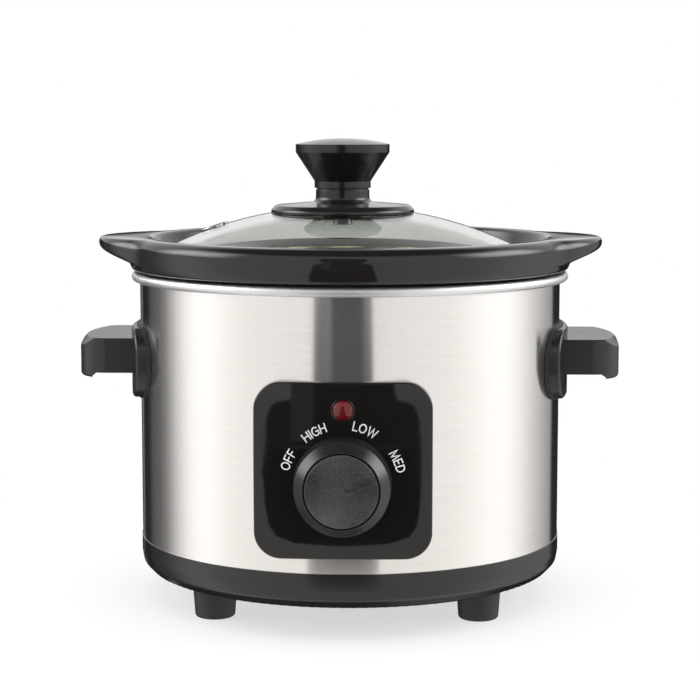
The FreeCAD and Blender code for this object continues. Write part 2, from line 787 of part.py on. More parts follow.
# Control panel: crowned rounded square, hollow behind, with screw bosses that meet the shell
def panel_block(margin, crown_r):
    block = rounded_block(panel_half - margin, panel_z - panel_half + margin, panel_z + panel_half - margin,
                          panel_round - margin, seen_from_front, V(0, -2 * panel_front, 0))
    ball = Part.makeSphere(crown_r, V(0, panel_crown_r - panel_front, panel_z))
    return block.common(ball)


def make_panel():
    shell_body = Part.makeCylinder(shell_r + skin_gap, 2 * shell_height)
    panel = panel_block(0.0, panel_crown_r).cut(panel_block(panel_wall, panel_crown_r - panel_wall))
    for seat in panel_screw_seats():
        boss = rod(boss_r, seat, seat - V(0, panel_front, 0))
        panel = panel.fuse(boss.common(panel_block(panel_wall / 2, panel_crown_r - panel_wall / 2)))
    panel = panel.cut(shell_body)
    for seat in panel_screw_seats():
        depth = V(0, -panel_screw_length - fit_gap, 0)
        panel = panel.cut(rod(panel_screw_r + fit_gap, seat, seat + depth))
    panel = panel.cut(rod(bushing_r + skin_gap, V(0, 0, dial_z), V(0, -2 * panel_front, dial_z)))
    panel = panel.cut(rod(lens_r + skin_gap, V(0, 0, lamp_z), V(0, -2 * panel_front, lamp_z)))
    return panel.removeSplitter()


def panel_skin(z):
    """Front of the panel on its middle line, as a distance from the axis."""
    return panel_front - panel_crown_r + math.sqrt(panel_crown_r ** 2 - (z - panel_z) ** 2)


def make_panel_screws():
    return [screw(panel_screw_r, panel_screw_length, panel_screw_head_r, panel_screw_head, seat, V(0, -1, 0))
            for seat in panel_screw_seats()]


def lens_back():
    return panel_skin(lamp_z + lens_flange_r) - panel_wall - skin_gap


def make_lens():
    front = panel_skin(lamp_z) + lens_dome
    back = lens_back()
    tail_in = lens_r - lens_tail_wall
    tail = back - lens_flange - lens_tail
    lens = turned_forward([
        (tail_in, tail), (lens_r, tail), (lens_r, back - lens_flange), (lens_flange_r, back - lens_flange),
        (lens_flange_r, back), (lens_r, back), (lens_r, front), (0, front), (0, back - lens_flange),
        (tail_in, back - lens_flange)], lamp_z)
    return crowned(lens, lens_r, lens_dome, front, V(0, 0, lamp_z), V(0, -1, 0))


def make_neon():
    top = lens_back() - lens_flange - fit_gap
    low = top - neon_length
    return turned_forward([(0, low), (neon_r, low), (neon_r, top, neon_r / 2), (0, top)], lamp_z)


# Rotary switch behind the panel, its nut, shaft and the two-piece dial
def switch_face():
    corner = math.hypot(switch_half, abs(panel_z - dial_z) + switch_half)
    return panel_front - panel_wall - skin_gap - corner ** 2 / (2 * (panel_crown_r - panel_wall))


def tab_back():
    return -(bowl_r + skin_gap + band_thick + switch_clear)


def make_switch():
    face = switch_face()
    switch_depth = face + tab_back()
    body = rounded_block(switch_half, dial_z - switch_half, dial_z + switch_half, switch_round,
                         seen_from_front, V(0, -switch_depth, 0))
    body.translate(V(0, tab_back(), 0))
    bushing = rod(bushing_r, V(0, -face, dial_z), V(0, -panel_front - bushing_length, dial_z))
    well = rod(shaft_r + fit_gap, V(0, tab_back() - switch_back_wall, dial_z),
               V(0, -2 * panel_front, dial_z))
    return body.fuse(bushing).cut(well).removeSplitter()


def make_terminals():
    tabs = []
    low = dial_z - switch_half - tab_length
    for i in (-1, 0, 1):
        spot = V(i * tab_pitch - tab_width / 2, tab_back() - tab_thick, low)
        tabs.append(Part.makeBox(tab_width, tab_thick, tab_length, spot))
    return tabs


def make_nut():
    return hex_nut(nut_flats, nut_thick, bushing_r + fit_gap, V(0, -panel_front, dial_z), V(0, -1, 0))


def shaft_stock(radius, start, finish, flat_from):
    """Round bar along the dial's axis with a flat on its underside from flat_from outwards."""
    bar = rod(radius, V(0, -start, dial_z), V(0, -finish, dial_z))
    flat = Part.makeBox(4 * radius, finish - flat_from, 2 * radius,
                        V(-2 * radius, -finish, dial_z - 3 * radius + shaft_flat - (radius - shaft_r)))
    return bar.cut(flat)


def make_shaft():
    start = switch_back_wall + slip_gap - tab_back()
    return shaft_stock(shaft_r, start, panel_front + shaft_length, panel_front + bushing_length + slip_gap)


def make_dial():
    floor = dial_height - cap_depth
    inside_top = floor - dial_web
    hub_low = bushing_length + 2 * slip_gap
    seat_r = cap_r + cap_groove
    dial = turned_forward([
        (0, hub_low), (dial_hub_r, hub_low), (dial_hub_r, inside_top),
        (dial_base_r - dial_wall, inside_top, dial_edge),
        (dial_base_r - dial_wall, dial_lift), (dial_base_r, dial_lift), (dial_r, dial_side, dial_edge),
        (dial_bevel_r, dial_height, cap_edge), (seat_r, dial_height), (seat_r, floor), (0, floor)], dial_z)
    dial.translate(V(0, -panel_front, 0))
    socket = shaft_stock(shaft_r + fit_gap, panel_front, panel_front + shaft_length + fit_gap, panel_front)
    return dial.cut(socket)


def make_cap():
    floor = dial_height - cap_depth
    cap = turned_forward([(0, floor), (cap_r, floor), (cap_r, cap_front, cap_edge), (0, cap_front)], dial_z)
    pointer = rounded_block(pointer_width / 2, pointer_start, cap_r + overcut, pointer_width / 2 - fit_gap,
                            seen_from_front, V(0, -pointer_depth, 0))
    pointer.rotate(V(0, 0, 0), V(0, 1, 0), dial_rest_turn)
    pointer.translate(V(0, pointer_depth - cap_front, dial_z))
    cap = cap.cut(pointer)
    cap.translate(V(0, -panel_front, 0))
    return cap


# Heater band round the bowl, split at the back and drawn together by a bolt
def make_band():
    inner = bowl_r + skin_gap
    outer = inner + band_thick
    height = band_height
    band = Part.makeCylinder(outer, height, V(0, 0, band_low))
    band = band.cut(Part.makeCylinder(inner, height, V(0, 0, band_low)))
    reach = math.sqrt(inner ** 2 - band_split ** 2)
    for side in (-1, 1):
        near = side * band_split / 2 if side > 0 else side * band_split / 2 - band_ear_thick
        ear = Part.makeBox(band_ear_thick, band_ear + outer - reach, height, V(near, reach, band_low))
        band = band.fuse(ear.cut(Part.makeCylinder(inner, 2 * band_high)))
    gap = Part.makeBox(band_split, 2 * outer, 2 * height, V(-band_split / 2, 0, band_low - height / 2))
    bolt = V(0, outer + band_ear / 2, band_low + height / 2)
    hole = rod(band_bolt_r + fit_gap, bolt - V(outer, 0, 0), bolt + V(outer, 0, 0))
    return band.cut(gap).cut(hole).removeSplitter()


def make_band_bolt():
    seat_x = band_split / 2 + band_ear_thick
    seat = V(seat_x, bowl_r + skin_gap + band_thick + band_ear / 2, (band_low + band_high) / 2)
    length = 2 * seat_x + band_bolt_tail
    return screw(band_bolt_r, length, band_bolt_head_r, band_bolt_head, seat, V(-1, 0, 0))


def placed_on_bowl(solid):
    solid.rotate(V(0, 0, 0), V(0, 0, 1), fuse_angle)
    return solid


def make_fuse():
    reach = bowl_r + skin_gap + fuse_r + fit_gap
    return placed_on_bowl(rod(fuse_r, V(reach, -fuse_length / 2, fuse_z), V(reach, fuse_length / 2, fuse_z)))


def make_fuse_clip():
    reach = bowl_r + skin_gap + fuse_r + fit_gap
    clip = Part.makeBox(clip_radial + overcut, clip_width, clip_height,
                        V(bowl_r - overcut + skin_gap, -clip_width / 2, fuse_z - clip_height / 2))
    clip = clip.cut(Part.makeCylinder(bowl_r + skin_gap, 2 * fuse_z))
    bore = rod(fuse_r + fit_gap, V(reach, -fuse_length, fuse_z), V(reach, fuse_length, fuse_z))
    return placed_on_bowl(clip.cut(bore))


# Terminal block on the base floor, its screws and the leads to the switch, heater and fuse
def block_screw_seats():
    return [V(i * block_length / 3, block_y, base_floor_z + block_height) for i in (-1, 0, 1)]


def make_block():
    block = Part.makeBox(block_length, block_width, block_height,
                         V(-block_length / 2, block_y - block_width / 2, base_floor_z))
    for seat in block_screw_seats():
        block = block.cut(rod(block_screw_r + fit_gap, seat - V(0, 0, block_screw_length + fit_gap), seat))
    return block


def make_block_screws():
    return [screw(block_screw_r, block_screw_length, block_screw_head_r, block_screw_head, seat, V(0, 0, -1))
            for seat in block_screw_seats()]


def make_leads():
    exit_y = block_y - block_width / 2
    lead_z = base_floor_z + block_height / 2
    tab_y = tab_back() - tab_thick / 2
    tab_z = dial_z - switch_half - tab_length
    outlet = block_length / 3
    heater_x = -tab_pitch - 3 * lead_bend
    heater_y = -math.sqrt((bowl_r + skin_gap + band_thick / 2) ** 2 - heater_x ** 2)
    around = math.radians(fuse_angle)
    out = V(math.cos(around), math.sin(around), 0)
    along = V(-out.y, out.x, 0)
    fuse_end = out * (bowl_r + skin_gap + fuse_r + fit_gap) + along * (fuse_length / 2) + V(0, 0, fuse_z)
    drop = fuse_end + along * (1.2 * lead_bend)
    return {
        "lead_live": lead([
            V(outlet, exit_y, lead_z), V(outlet, exit_y - 2 * lead_bend, lead_z), V(vent_outer_r, 0, lead_z),
            V(tab_pitch, tab_y, lead_z), V(tab_pitch, tab_y, tab_z)]),
        "lead_heater": lead([
            V(-tab_pitch, tab_y, tab_z), V(-tab_pitch, tab_y, tab_z - 2 * lead_bend),
            V(heater_x, heater_y, tab_z - 2 * lead_bend), V(heater_x, heater_y, band_low)]),
        "lead_fuse": lead([
            fuse_end, drop, V(drop.x, drop.y, lead_z), V(-outlet, exit_y - 3 * lead_bend, lead_z),
            V(-outlet, exit_y, lead_z)]),
    }


# Tie bolt that draws the bowl, shell and base together
def make_tie():
    roof_z = foot_height + tie_pocket
    washer_z = roof_z - tie_washer
    bore = tie_r + fit_gap
    return {
        "tie_bolt": rod(tie_r, V(0, 0, foot_height + slip_gap), V(0, 0, bowl_floor_z)),
        "tie_washer": turned([(bore, washer_z), (tie_washer_r, washer_z), (tie_washer_r, roof_z),
                              (bore, roof_z)]),
        "tie_nut": hex_nut(tie_nut_flats, tie_nut, bore, V(0, 0, washer_z - tie_nut), V(0, 0, 1)),
    }


def make_gland():
    outside = base_r + skin_gap
    gland = turned([
        (gland_bore_r, gland_inside()), (gland_r, gland_inside()), (gland_r, outside),
        (gland_flange_r, outside),
        (gland_flange_r, outside + gland_flange, gland_edge), (gland_bore_r, outside + gland_flange)])
    gland.rotate(V(0, 0, 0), V(1, 0, 0), -90)
    gland.translate(V(0, 0, gland_z))
    return gland


pieces = make_lid_pieces()
for shape in pieces.values():
    shape.translate(V(lid_aside, 0, 0))
pieces.update(make_crock())
pieces["heating_bowl"] = make_bowl()
pieces["outer_shell"] = make_shell()
pieces["base_housing"] = make_base()
for side, side_name in ((-1, "left"), (1, "right")):
    for end, end_name in ((-1, "front"), (1, "rear")):
        pieces["foot_" + end_name + "_" + side_name] = make_foot(side, end)
    pieces["handle_" + side_name] = make_handle(side)
    pieces["handle_gasket_" + side_name] = make_handle_gasket(side)
pieces["foot_screws"] = Part.makeCompound(make_foot_screws())
pieces["handle_screws"] = Part.makeCompound(make_handle_screws())
pieces["control_panel"] = make_panel()
pieces["panel_screws"] = Part.makeCompound(make_panel_screws())
pieces["indicator_lens"] = make_lens()
pieces["neon_lamp"] = make_neon()
pieces["rotary_switch"] = make_switch()
pieces["switch_terminals"] = Part.makeCompound(make_terminals())
pieces["switch_nut"] = make_nut()
pieces["switch_shaft"] = make_shaft()
pieces["dial_skirt"] = make_dial()
pieces["dial_cap"] = make_cap()
pieces["heater_band"] = make_band()
pieces["band_bolt"] = make_band_bolt()
pieces["thermal_fuse"] = make_fuse()
pieces["fuse_clip"] = make_fuse_clip()
pieces["terminal_block"] = make_block()
pieces["terminal_screws"] = Part.makeCompound(make_block_screws())
pieces.update(make_leads())
pieces.update(make_tie())
pieces["cord_gland"] = make_gland()

os.makedirs("parts", exist_ok=True)
for name, shape in pieces.items():
    shape.translate(V(0, axis_y, 0))
    shape.exportStep("parts/" + name + ".step")
    print(name, len(shape.Solids), "solid(s)", round(shape.Volume / 1000.0, 2), "cm3", shape.isValid())
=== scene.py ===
import json
import math

import bmesh
import bpy
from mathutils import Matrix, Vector
from mathutils.geometry import delaunay_2d_cdt


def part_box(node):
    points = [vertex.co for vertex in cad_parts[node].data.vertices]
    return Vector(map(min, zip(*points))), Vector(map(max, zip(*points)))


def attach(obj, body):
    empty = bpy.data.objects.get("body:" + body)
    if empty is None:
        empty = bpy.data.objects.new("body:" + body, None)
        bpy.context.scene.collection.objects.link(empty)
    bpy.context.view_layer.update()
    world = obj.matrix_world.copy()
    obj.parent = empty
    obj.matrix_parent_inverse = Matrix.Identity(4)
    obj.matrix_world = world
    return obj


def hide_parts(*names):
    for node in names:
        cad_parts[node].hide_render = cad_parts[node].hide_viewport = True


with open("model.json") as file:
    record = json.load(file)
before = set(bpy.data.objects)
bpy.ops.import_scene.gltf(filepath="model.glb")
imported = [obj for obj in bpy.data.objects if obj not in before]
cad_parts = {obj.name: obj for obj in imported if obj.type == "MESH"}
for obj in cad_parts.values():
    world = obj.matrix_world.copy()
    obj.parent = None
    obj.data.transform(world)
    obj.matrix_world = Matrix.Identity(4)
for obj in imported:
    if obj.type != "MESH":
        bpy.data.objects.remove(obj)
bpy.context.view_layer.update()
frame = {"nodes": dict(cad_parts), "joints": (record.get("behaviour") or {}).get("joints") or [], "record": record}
mm = 0.001
nodes = frame["nodes"]
joints = {joint["name"]: joint for joint in frame["joints"]}
dialAxis = Vector(joints["dial_turn"]["pos_m"])
potY = sum(corner.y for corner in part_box("lid_knob")) / 2    # the crock's axis, behind the frame's origin
print("frame loaded:", len(nodes), "nodes")


# camera first: worked out from the rim, bead and base ellipses of the photograph
cameraSet = {"away": 0.9275, "height": 0.2228, "down": 6.665, "round": 1.75, "lens": 102.72, "sensor": 36.0}


def makeCamera():
    data = bpy.data.cameras.new("camera")
    data.lens = cameraSet["lens"]
    data.sensor_width = cameraSet["sensor"]
    camera = bpy.data.objects.new("camera", data)
    turn = math.radians(cameraSet["round"])
    away = cameraSet["away"]
    camera.location = (away * math.sin(turn), potY - away * math.cos(turn), cameraSet["height"])
    camera.rotation_euler = (math.radians(90 - cameraSet["down"]), 0, turn)
    bpy.context.scene.collection.objects.link(camera)
    bpy.context.scene.camera = camera


makeCamera()
print("camera set")


class Wire:                                              # a shader socket that can stand in a sum
    def __init__(self, tree, socket=None):
        self.tree, self.socket = tree, socket

    def node(self, kind, settings=None, inputs=None, out=0):
        made = self.tree.nodes.new("ShaderNode" + kind)
        for name, value in (settings or {}).items():
            if name == "stops":
                fillRamp(made.color_ramp, value)
            else:
                setattr(made, name, value)
        for name, value in (inputs or {}).items():
            if isinstance(value, Wire):
                self.tree.links.new(value.socket, made.inputs[name])
            else:
                made.inputs[name].default_value = value
        return Wire(self.tree, made.outputs[out])

    def out(self, name):                                  # another output of the same node
        return Wire(self.tree, self.socket.node.outputs[name])

    def maths(self, operation, *values):
        return self.node("Math", {"operation": operation}, dict(enumerate(values)))

    def __add__(self, other):
        return self.maths("ADD", self, other)

    def __radd__(self, other):
        return self.maths("ADD", other, self)

    def __sub__(self, other):
        return self.maths("SUBTRACT", self, other)

    def __rsub__(self, other):
        return self.maths("SUBTRACT", other, self)

    def __mul__(self, other):
        return self.maths("MULTIPLY", self, other)

    def __rmul__(self, other):
        return self.maths("MULTIPLY", other, self)

    def __pow__(self, other):
        return self.maths("POWER", self, other)

    def clamp(self, low, high, toLow=0.0, toHigh=1.0):
        return self.node("MapRange", {"clamp": True}, {0: self, 1: low, 2: high, 3: toLow, 4: toHigh})

    def ease(self, low, high, toLow=0.0, toHigh=1.0):     # like clamp, with soft ends
        return self.node("MapRange", {"clamp": True, "interpolation_type": "SMOOTHSTEP"},
                         {0: self, 1: low, 2: high, 3: toLow, 4: toHigh})

    def mix(self, first, second):                         # this value blends two colours
        return self.node("Mix", {"data_type": "RGBA"}, {0: self, 6: first, 7: second}, 2)


def fillRamp(ramp, stops):
    while len(ramp.elements) > 1:
        ramp.elements.remove(ramp.elements[-1])
    ramp.elements[0].position, ramp.elements[0].color = stops[0]
    for place, colour in stops[1:]:
        ramp.elements.new(place).color = colour


def grey(level):
    return (level, level, level, 1.0)


def newFinish(name):                                      # a material, a Wire to build with and its shader
    material = bpy.data.materials.new(name)
    material.use_nodes = True
    tree = material.node_tree
    shader = tree.nodes["Principled BSDF"]
    return material, Wire(tree), shader


def place(wire):                                          # row-frame metres, riding with the piece
    return wire.node("TexCoord", out=3)


def noise(wire, vector, scale, detail=3.0, rough=0.5, distort=0.0):
    return wire.node("TexNoise", {"noise_dimensions": "3D"},
                     {"Vector": vector, "Scale": scale, "Detail": detail, "Roughness": rough,
                      "Distortion": distort})


def stretched(wire, vector, scale):
    return wire.node("Mapping", {}, {"Vector": vector, "Scale": scale})


def bump(wire, shader, height, depth, strength=1.0):      # depth in metres for a height of 1
    made = wire.node("Bump", {}, {"Strength": strength, "Distance": depth, "Height": height})
    wire.tree.links.new(made.socket, shader.inputs["Normal"])


def feed(wire, shader, **sockets):
    names = {"colour": "Base Color", "rough": "Roughness", "metal": "Metallic", "emission": "Emission Color"}
    for key, value in sockets.items():
        socket = shader.inputs[names[key]]
        if isinstance(value, Wire):
            wire.tree.links.new(value.socket, socket)
        else:
            socket.default_value = value


# moulded plastics, rubber and glaze: one recipe, a dictionary for each finish
mouldings = {
    "knobBlack": {"colour": (0.010, 0.010, 0.011), "rough": (0.10, 0.20), "grain": 900,
                  "depth": 0.000004, "dust": 0.05},
    "panelBlack": {"colour": (0.0065, 0.0055, 0.005), "rough": (0.03, 0.07), "grain": 420,
                   "depth": 0.000003, "dust": 0.03},
    "dialGrain": {"colour": (0.018, 0.018, 0.018), "rough": (0.34, 0.52), "grain": 1500,
                  "depth": 0.00016, "dust": 1.6},
    "satinBlack": {"colour": (0.011, 0.011, 0.012), "rough": (0.13, 0.20), "grain": 1800,
                   "depth": 0.000003, "dust": 0.06},
    "gripBlack": {"colour": (0.010, 0.010, 0.011), "rough": (0.24, 0.30), "grain": 1800,
                  "depth": 0.000003, "dust": 0.06},
    "footBlack": {"colour": (0.011, 0.011, 0.012), "rough": (0.48, 0.62), "grain": 1700,
                  "depth": 0.000020, "dust": 0.08},
    "gasketRubber": {"colour": (0.009, 0.009, 0.009), "rough": (0.52, 0.68), "grain": 1500,
                     "depth": 0.000022, "dust": 0.08},
    "glazeBlack": {"colour": (0.011, 0.0095, 0.0088), "rough": (0.04, 0.085), "grain": 95,
                   "depth": 0.000024, "dust": 0.03},
    "siliconeClear": {"colour": (0.62, 0.62, 0.60), "rough": (0.30, 0.42), "grain": 900,
                      "depth": 0.000008, "dust": 0.05},
    "switchPhenolic": {"colour": (0.46, 0.44, 0.39), "rough": (0.42, 0.58), "grain": 1200,
                       "depth": 0.000020, "dust": 0.12},
    "fuseLacquer": {"colour": (0.62, 0.56, 0.44), "rough": (0.32, 0.50), "grain": 800,
                    "depth": 0.000010, "dust": 0.10},
    "leadSleeve": {"colour": (0.70, 0.67, 0.60), "rough": (0.60, 0.78), "grain": 2400,
                   "depth": 0.000060, "dust": 0.20},
    "printWhite": {"colour": (0.86, 0.86, 0.85), "rough": (0.42, 0.55), "grain": 3000,
                   "depth": 0.000003, "dust": 0.05},
}


def moulded(name):
    look = mouldings[name]
    material, wire, shader = newFinish(name)
    at = place(wire)
    fine = noise(wire, at, look["grain"], 3.0, 0.6)
    broad = noise(wire, at, 38.0, 2.0, 0.5)               # handling marks and flow in the mould
    cloud = (fine * 0.45 + broad * 0.55).clamp(0.36, 0.64)
    low, high = look["rough"]
    lighter = tuple(channel * (1 + 1.6 * look["dust"]) + 0.01 * look["dust"] for channel in look["colour"])
    feed(wire, shader, rough=cloud.clamp(0, 1, low, high),
         colour=cloud.mix(look["colour"] + (1.0,), lighter + (1.0,)))
    bump(wire, shader, fine, look["depth"])
    return material


metals = {
    "zincPlate": {"colour": (0.58, 0.58, 0.60), "rough": (0.24, 0.40), "grain": 1400, "depth": 0.000006},
    "polishedSteel": {"colour": (0.66, 0.65, 0.64), "rough": (0.10, 0.20), "grain": 1100, "depth": 0.000003},
    "brassTurned": {"colour": (0.72, 0.52, 0.24), "rough": (0.20, 0.36), "grain": 1300, "depth": 0.000006},
    "heaterFoil": {"colour": (0.66, 0.66, 0.66), "rough": (0.30, 0.46), "grain": 260, "depth": 0.000070},
    "spunAluminium": {"colour": (0.80, 0.80, 0.81), "rough": (0.34, 0.52), "grain": 1500, "depth": 0.000055},
}


def metalled(name):
    look = metals[name]
    material, wire, shader = newFinish(name)
    at = place(wire)
    fine = noise(wire, at, look["grain"], 4.0, 0.62)
    broad = noise(wire, at, 60.0, 2.0, 0.5)
    cloud = (fine * 0.6 + broad * 0.4).clamp(0.34, 0.66)
    low, high = look["rough"]
    darker = tuple(channel * 0.86 for channel in look["colour"])
    feed(wire, shader, rough=cloud.clamp(0, 1, low, high), metal=1.0,
         colour=cloud.mix(look["colour"] + (1.0,), darker + (1.0,)))
    bump(wire, shader, fine, look["depth"])
    return material


steelLook = {"colour": (0.82, 0.805, 0.79), "streak": (0.775, 0.76, 0.745), "rough": (0.15, 0.185),
             "reach": 0.097, "round": 62.0, "across": 2600.0, "anisotropy": 0.95, "turn": 0.25}


def brushedSteel():                                       # brushed round, so highlights stretch upright
    look = steelLook
    material, wire, shader = newFinish("brushedShellSteel")
    at = wire.node("SeparateXYZ", {}, {0: place(wire)})
    around = wire.maths("ARCTAN2", at.out("Y") - potY, at.out("X")) * look["reach"]
    strand = wire.node("CombineXYZ", {}, {"X": around * look["round"], "Y": at.out("Z") * look["across"]})
    lines = noise(wire, strand, 1.0, 5.0, 0.62)
    bold = noise(wire, stretched(wire, strand, (0.5, 0.22, 1.0)), 1.0, 2.0, 0.5)
    mark = (lines * 0.65 + bold * 0.35).clamp(0.36, 0.64)
    low, high = look["rough"]
    feed(wire, shader, metal=1.0, rough=mark.clamp(0, 1, low, high),
         colour=mark.mix(look["colour"] + (1.0,), look["streak"] + (1.0,)))
    shader.inputs["Anisotropic"].default_value = look["anisotropy"]
    shader.inputs["Anisotropic Rotation"].default_value = look["turn"]
    return material


glassLook = {"tint": (0.80, 0.825, 0.785), "pale": (0.82, 0.84, 0.80), "ior": 1.47, "rough": (0.0, 0.03)}


def lidGlass():
    material, wire, shader = newFinish("lidGlass")
    smear = noise(wire, place(wire), 24.0, 3.0, 0.6, 0.6).clamp(0.45, 0.75)
    low, high = glassLook["rough"]
    feed(wire, shader, rough=smear.clamp(0, 1, low, high),
         colour=smear.mix(glassLook["tint"] + (1.0,), glassLook["pale"] + (1.0,)))
    shader.inputs["Transmission Weight"].default_value = 1.0
    shader.inputs["IOR"].default_value = glassLook["ior"]
    return material


# straw and dark are a painted highlight and painted dark reflection lines; the edge's glow is painted light, as it
# is no lamp
edgeLook = {"strawHighlight": (0.82, 0.72, 0.44), "dark": (0.05, 0.045, 0.03), "light": 1.1, "rough": (0.3, 0.55)}


def groundEdge():                                         # ground rim of the glass with a painted highlight: a straw streak between painted dark lines, glowing along its length
    material, wire, shader = newFinish("groundEdge")
    streak = noise(wire, stretched(wire, place(wire), (1.0, 1.0, 6.0)), 95.0, 4.0, 0.62).clamp(0.40, 0.62)
    tone = streak.mix(edgeLook["dark"] + (1.0,), edgeLook["strawHighlight"] + (1.0,))
    low, high = edgeLook["rough"]
    # the painted streak feeds the emission too, so the edge glows with its painted highlight
    feed(wire, shader, rough=streak.clamp(0, 1, low, high), colour=tone, emission=tone)
    shader.inputs["Emission Strength"].default_value = edgeLook["light"]
    return material


lensLook = {"colour": (0.20, 0.008, 0.012), "deep": (0.10, 0.004, 0.006), "rough": (0.06, 0.16),
            "through": 0.12, "coat": 0.05}


def redLens():
    material, wire, shader = newFinish("redLens")
    cloud = noise(wire, place(wire), 700.0, 2.0, 0.5).clamp(0.3, 0.7)
    low, high = lensLook["rough"]
    feed(wire, shader, rough=cloud.clamp(0, 1, low, high),
         colour=cloud.mix(lensLook["colour"] + (1.0,), lensLook["deep"] + (1.0,)))
    shader.inputs["Transmission Weight"].default_value = lensLook["through"]
    shader.inputs["Coat Weight"].default_value = lensLook["coat"]
    return material


finishes = {name: moulded(name) for name in mouldings}
finishes.update({name: metalled(name) for name in metals})
finishes.update({"brushedSteel": brushedSteel(), "lidGlass": lidGlass(), "redLens": redLens(),
                 "groundEdge": groundEdge()})
slotFinish = {"lid_glass": "lidGlass", "polished_steel": "polishedSteel", "clear_silicone": "siliconeClear",
              "gloss_black": "knobBlack", "panel_black": "panelBlack", "dial_texture": "dialGrain",
              "satin_black": "satinBlack", "foot_black": "footBlack", "gasket_black": "gasketRubber",
              "glaze_black": "glazeBlack", "spun_aluminium": "spunAluminium", "brushed_shell": "brushedSteel",
              "zinc_screws": "zincPlate", "brass": "brassTurned", "red_lens": "redLens",
              "neon_glass": "lidGlass", "switch_body": "switchPhenolic", "heater_foil": "heaterFoil",
              "fuse_body": "fuseLacquer", "lead_sleeve": "leadSleeve"}
nodeSlot = {entry["node"]: entry["material_slot"] for entry in frame["record"]["subparts"]}
ownFinish = {"handle_left": "gripBlack", "handle_right": "gripBlack", "dial_skirt": "gripBlack"}
for name, node in nodes.items():
    for holder in node.material_slots:
        holder.material = finishes[ownFinish.get(name, slotFinish[nodeSlot[name]])]
print("finishes made:", len(finishes))


# mesh helpers: plans and sections in millimetres, pieces in row-frame metres
def addPiece(name, body, finish, points, faces, hides=(), slot=None, crease=40.0):
    mesh = bpy.data.meshes.new(name)
    mesh.from_pydata(points, [], faces)
    made = bmesh.new()
    made.from_mesh(mesh)
    bmesh.ops.remove_doubles(made, verts=made.verts, dist=2e-7)
    bmesh.ops.dissolve_degenerate(made, edges=made.edges, dist=2e-7)
    bmesh.ops.recalc_face_normals(made, faces=made.faces)
    made.to_mesh(mesh)
    made.free()
    mesh.shade_smooth()
    mesh.set_sharp_from_angle(angle=math.radians(crease))
    mesh.materials.append(finishes[finish])
    piece = bpy.data.objects.new(name, mesh)
    bpy.context.scene.collection.objects.link(piece)
    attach(piece, body)
    if hides:
        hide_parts(*hides)
    return piece


def softPath(corners, steps=8):                           # corners (across, up, radius) to a rounded line
    path = []
    for place, corner in enumerate(corners):
        here = Vector(corner[:2])
        radius = corner[2] if len(corner) > 2 else 0.0
        if not radius or place in (0, len(corners) - 1):
            path.append(here)
            continue
        back = Vector(corners[place - 1][:2]) - here
        ahead = Vector(corners[place + 1][:2]) - here
        if min(back.length, ahead.length) < 1e-4:
            path += [here] * (steps + 1)
            continue
        half = back.angle(ahead) / 2
        run = radius / math.tan(half)
        limit = 0.49 * min(back.length, ahead.length)
        if run > limit:
            run, radius = limit, limit * math.tan(half)
        middle = here + (back.normalized() + ahead.normalized()).normalized() * (radius / math.sin(half))
        start = here + back.normalized() * run - middle
        swing = (math.pi - 2 * half) * (1 if back.cross(ahead) < 0 else -1)
        for step in range(steps + 1):
            turn = swing * step / steps
            path.append(middle + Vector((start.x * math.cos(turn) - start.y * math.sin(turn),
                                         start.x * math.sin(turn) + start.y * math.cos(turn))))
    return path


def skinned(rings, closed=True):                          # faces between rings of the same count
    faces = []
    count = len(rings[0])
    for ring in range(len(rings) - 1):
        for step in range(count if closed else count - 1):
            after = (step + 1) % count
            here, there = ring * count, (ring + 1) * count
            faces.append((here + step, here + after, there + after, there + step))
    return [point for ring in rings for point in ring], faces


def softened(name, body, node, width, segments=3, angle=32.0):   # a CAD piece with its crisp edges eased
    source = nodes[node]
    made = bmesh.new()
    made.from_mesh(source.data)
    made.transform(source.matrix_world)
    bmesh.ops.remove_doubles(made, verts=made.verts, dist=2e-7)
    bmesh.ops.dissolve_limit(made, angle_limit=math.radians(0.6), verts=made.verts, edges=made.edges)
    crisp = [edge for edge in made.edges if len(edge.link_faces) == 2 and edge.is_convex
             and edge.calc_face_angle(0.0) > math.radians(angle)]
    bmesh.ops.bevel(made, geom=crisp, offset=width * mm, offset_type="OFFSET", segments=segments, profile=0.5,
                    affect="EDGES", clamp_overlap=True)
    points = [tuple(vertex.co) for vertex in made.verts]
    made.verts.index_update()
    faces = [[vertex.index for vertex in face.verts] for face in made.faces]
    made.free()
    piece = addPiece(name, body, slotFinish[nodeSlot[node]], points, faces, (node,), nodeSlot[node])
    weigh = piece.modifiers.new("weigh", "WEIGHTED_NORMAL")
    weigh.keep_sharp = True
    return piece


# crock: one glazed loft, its section running from the plain rim out into the two lugs
crockSet = {"rim": 101.93, "nose": 46.5, "noseAt": 70.0, "neck": 30.0, "top": 168.0, "seat": 152.1,
            "rise": 0.47, "rootZ": 156.6, "lug": 14.5, "rimRound": 5.2, "lugRound": 3.8, "tipRound": 3.2,
            "rootRound": 5.0, "columns": 480}
crockInside = [(0.0, 57.8), (70.0, 57.8, 11.0), (73.0, 149.1, 6.0), (77.0, 158.2, 2.4), (87.6, 158.2, 2.0)]
crockOutside = [(79.5, 149.1, 3.0), (76.5, 49.8, 11.0), (62.0, 49.8, 0.8), (60.5, 51.3, 0.8), (0.0, 51.3)]


